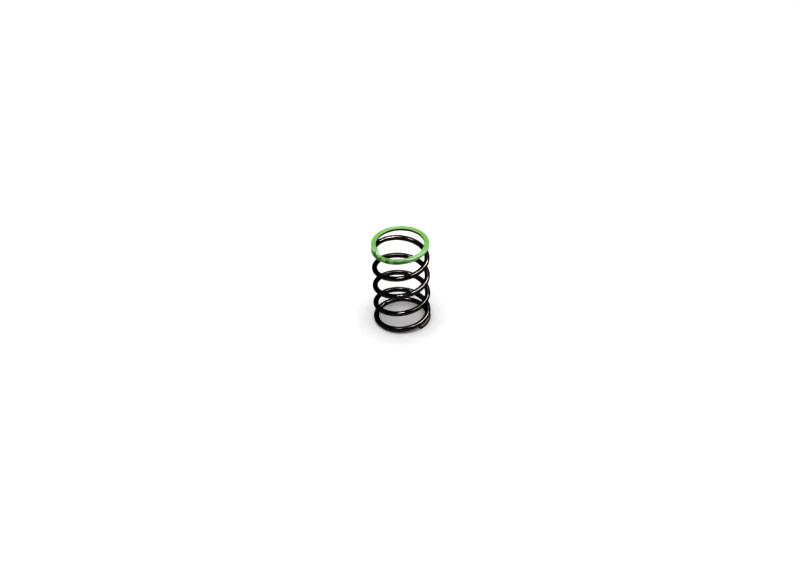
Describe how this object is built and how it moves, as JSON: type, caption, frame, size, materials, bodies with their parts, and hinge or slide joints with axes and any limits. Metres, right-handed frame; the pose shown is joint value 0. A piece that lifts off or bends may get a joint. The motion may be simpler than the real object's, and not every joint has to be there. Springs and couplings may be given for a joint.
{
  "type": "compression spring",
  "caption": "Helical compression spring of round steel wire with closed ends and a painted end coil, for a small shock absorber.",
  "frame": {"origin": "on the spring's axis, at the plane of the bottom seat", "axes": "+Z along the spring's axis towards the painted end; the wire's bottom tip is 50 degrees clockwise from +X seen from above"},
  "size_m": [0.0146, 0.0146, 0.0235],
  "materials": {
    "dark_spring_steel": "oil-tempered black oxide, satin with fine drawing lines",
    "green_paint": "thin satin enamel dipped or brushed on the end coil"
  },
  "bodies": {
    "base": {"bottom_end_coil": "dark_spring_steel"},
    "coil_01": {"active_coil_01": "dark_spring_steel"},
    "coil_02": {"active_coil_02": "dark_spring_steel"},
    "coil_03": {"active_coil_03": "dark_spring_steel"},
    "coil_04": {"active_coil_04": "dark_spring_steel"},
    "coil_05": {"active_coil_05": "dark_spring_steel"},
    "coil_06": {"active_coil_06": "dark_spring_steel"},
    "coil_07": {"active_coil_07": "dark_spring_steel"},
    "coil_08": {"active_coil_08": "dark_spring_steel"},
    "coil_09": {"active_coil_09": "dark_spring_steel"},
    "coil_10": {"active_coil_10": "dark_spring_steel"},
    "coil_11": {"active_coil_11": "dark_spring_steel"},
    "coil_12": {"active_coil_12": "dark_spring_steel"},
    "coil_13": {"active_coil_13": "dark_spring_steel"},
    "coil_14": {"active_coil_14": "dark_spring_steel"},
    "coil_15": {"active_coil_15": "dark_spring_steel"},
    "coil_16": {"active_coil_16": "dark_spring_steel"},
    "coil_17": {"active_coil_17": "dark_spring_steel"},
    "coil_18": {"active_coil_18": "dark_spring_steel"},
    "coil_19": {"active_coil_19": "dark_spring_steel"},
    "coil_20": {"active_coil_20": "dark_spring_steel"},
    "coil_21": {"active_coil_21": "dark_spring_steel"},
    "coil_22": {"active_coil_22": "dark_spring_steel"},
    "coil_23": {"active_coil_23": "dark_spring_steel"},
    "coil_24": {"active_coil_24": "dark_spring_steel"},
    "coil_25": {"active_coil_25": "dark_spring_steel"},
    "coil_26": {"active_coil_26": "dark_spring_steel"},
    "coil_27": {"active_coil_27": "dark_spring_steel"},
    "coil_28": {"active_coil_28": "dark_spring_steel"},
    "top": {"top_end_coil": "green_paint"}
  },
  "joints": [
    {"name": "compression", "type": "slide", "parent": "base", "child": "top", "axis": [0, 0, -1], "range_m": [0, 0.0125], "stiffness_N_per_m": 2800},
    {"name": "coil_01_travel", "type": "slide", "parent": "base", "child": "coil_01", "axis": [0, 0, -1], "range_m": [0, 0.0000303], "stiffness_N_per_m": 20},
    {"name": "coil_02_travel", "type": "slide", "parent": "base", "child": "coil_02", "axis": [0, 0, -1], "range_m": [0, 0.0002723], "stiffness_N_per_m": 20},
    {"name": "coil_03_travel", "type": "slide", "parent": "base", "child": "coil_03", "axis": [0, 0, -1], "range_m": [0, 0.0007243], "stiffness_N_per_m": 20},
    {"name": "coil_04_travel", "type": "slide", "parent": "base", "child": "coil_04", "axis": [0, 0, -1], "range_m": [0, 0.0012], "stiffness_N_per_m": 20},
    {"name": "coil_05_travel", "type": "slide", "parent": "base", "child": "coil_05", "axis": [0, 0, -1], "range_m": [0, 0.00169], "stiffness_N_per_m": 20},
    {"name": "coil_06_travel", "type": "slide", "parent": "base", "child": "coil_06", "axis": [0, 0, -1], "range_m": [0, 0.00217], "stiffness_N_per_m": 20},
    {"name": "coil_07_travel", "type": "slide", "parent": "base", "child": "coil_07", "axis": [0, 0, -1], "range_m": [0, 0.00265], "stiffness_N_per_m": 20},
    {"name": "coil_08_travel", "type": "slide", "parent": "base", "child": "coil_08", "axis": [0, 0, -1], "range_m": [0, 0.00313], "stiffness_N_per_m": 20},
    {"name": "coil_09_travel", "type": "slide", "parent": "base", "child": "coil_09", "axis": [0, 0, -1], "range_m": [0, 0.00361], "stiffness_N_per_m": 20},
    {"name": "coil_10_travel", "type": "slide", "parent": "base", "child": "coil_10", "axis": [0, 0, -1], "range_m": [0, 0.00409], "stiffness_N_per_m": 20},
    {"name": "coil_11_travel", "type": "slide", "parent": "base", "child": "coil_11", "axis": [0, 0, -1], "range_m": [0, 0.00457], "stiffness_N_per_m": 20},
    {"name": "coil_12_travel", "type": "slide", "parent": "base", "child": "coil_12", "axis": [0, 0, -1], "range_m": [0, 0.00505], "stiffness_N_per_m": 20},
    {"name": "coil_13_travel", "type": "slide", "parent": "base", "child": "coil_13", "axis": [0, 0, -1], "range_m": [0, 0.00553], "stiffness_N_per_m": 20},
    {"name": "coil_14_travel", "type": "slide", "parent": "base", "child": "coil_14", "axis": [0, 0, -1], "range_m": [0, 0.00601], "stiffness_N_per_m": 20},
    {"name": "coil_15_travel", "type": "slide", "parent": "base", "child": "coil_15", "axis": [0, 0, -1], "range_m": [0, 0.00649], "stiffness_N_per_m": 20},
    {"name": "coil_16_travel", "type": "slide", "parent": "base", "child": "coil_16", "axis": [0, 0, -1], "range_m": [0, 0.00697], "stiffness_N_per_m": 20},
    {"name": "coil_17_travel", "type": "slide", "parent": "base", "child": "coil_17", "axis": [0, 0, -1], "range_m": [0, 0.00745], "stiffness_N_per_m": 20},
    {"name": "coil_18_travel", "type": "slide", "parent": "base", "child": "coil_18", "axis": [0, 0, -1], "range_m": [0, 0.00793], "stiffness_N_per_m": 20},
    {"name": "coil_19_travel", "type": "slide", "parent": "base", "child": "coil_19", "axis": [0, 0, -1], "range_m": [0, 0.00841], "stiffness_N_per_m": 20},
    {"name": "coil_20_travel", "type": "slide", "parent": "base", "child": "coil_20", "axis": [0, 0, -1], "range_m": [0, 0.00889], "stiffness_N_per_m": 20},
    {"name": "coil_21_travel", "type": "slide", "parent": "base", "child": "coil_21", "axis": [0, 0, -1], "range_m": [0, 0.00937], "stiffness_N_per_m": 20},
    {"name": "coil_22_travel", "type": "slide", "parent": "base", "child": "coil_22", "axis": [0, 0, -1], "range_m": [0, 0.00985], "stiffness_N_per_m": 20},
    {"name": "coil_23_travel", "type": "slide", "parent": "base", "child": "coil_23", "axis": [0, 0, -1], "range_m": [0, 0.01033], "stiffness_N_per_m": 20},
    {"name": "coil_24_travel", "type": "slide", "parent": "base", "child": "coil_24", "axis": [0, 0, -1], "range_m": [0, 0.01081], "stiffness_N_per_m": 20},
    {"name": "coil_25_travel", "type": "slide", "parent": "base", "child": "coil_25", "axis": [0, 0, -1], "range_m": [0, 0.0113], "stiffness_N_per_m": 20},
    {"name": "coil_26_travel", "type": "slide", "parent": "base", "child": "coil_26", "axis": [0, 0, -1], "range_m": [0, 0.01178], "stiffness_N_per_m": 20},
    {"name": "coil_27_travel", "type": "slide", "parent": "base", "child": "coil_27", "axis": [0, 0, -1], "range_m": [0, 0.01223], "stiffness_N_per_m": 20},
    {"name": "coil_28_travel", "type": "slide", "parent": "base", "child": "coil_28", "axis": [0, 0, -1], "range_m": [0, 0.01247], "stiffness_N_per_m": 20}
  ],
  "couplings": [
    {"joint": "coil_01_travel", "follows": "compression", "ratio": 0.00242},
    {"joint": "coil_02_travel", "follows": "compression", "ratio": 0.021777},
    {"joint": "coil_03_travel", "follows": "compression", "ratio": 0.057933},
    {"joint": "coil_04_travel", "follows": "compression", "ratio": 0.096374},
    {"joint": "coil_05_travel", "follows": "compression", "ratio": 0.13481},
    {"joint": "coil_06_travel", "follows": "compression", "ratio": 0.17325},
    {"joint": "coil_07_travel", "follows": "compression", "ratio": 0.2117},
    {"joint": "coil_08_travel", "follows": "compression", "ratio": 0.25014},
    {"joint": "coil_09_travel", "follows": "compression", "ratio": 0.28858},
    {"joint": "coil_10_travel", "follows": "compression", "ratio": 0.32702},
    {"joint": "coil_11_travel", "follows": "compression", "ratio": 0.36546},
    {"joint": "coil_12_travel", "follows": "compression", "ratio": 0.4039},
    {"joint": "coil_13_travel", "follows": "compression", "ratio": 0.44234},
    {"joint": "coil_14_travel", "follows": "compression", "ratio": 0.48078},
    {"joint": "coil_15_travel", "follows": "compression", "ratio": 0.51922},
    {"joint": "coil_16_travel", "follows": "compression", "ratio": 0.55766},
    {"joint": "coil_17_travel", "follows": "compression", "ratio": 0.5961},
    {"joint": "coil_18_travel", "follows": "compression", "ratio": 0.63454},
    {"joint": "coil_19_travel", "follows": "compression", "ratio": 0.67298},
    {"joint": "coil_20_travel", "follows": "compression", "ratio": 0.71142},
    {"joint": "coil_21_travel", "follows": "compression", "ratio": 0.74986},
    {"joint": "coil_22_travel", "follows": "compression", "ratio": 0.7883},
    {"joint": "coil_23_travel", "follows": "compression", "ratio": 0.82674},
    {"joint": "coil_24_travel", "follows": "compression", "ratio": 0.86518},
    {"joint": "coil_25_travel", "follows": "compression", "ratio": 0.90363},
    {"joint": "coil_26_travel", "follows": "compression", "ratio": 0.94207},
    {"joint": "coil_27_travel", "follows": "compression", "ratio": 0.97822},
    {"joint": "coil_28_travel", "follows": "compression", "ratio": 0.99758}
  ]
}
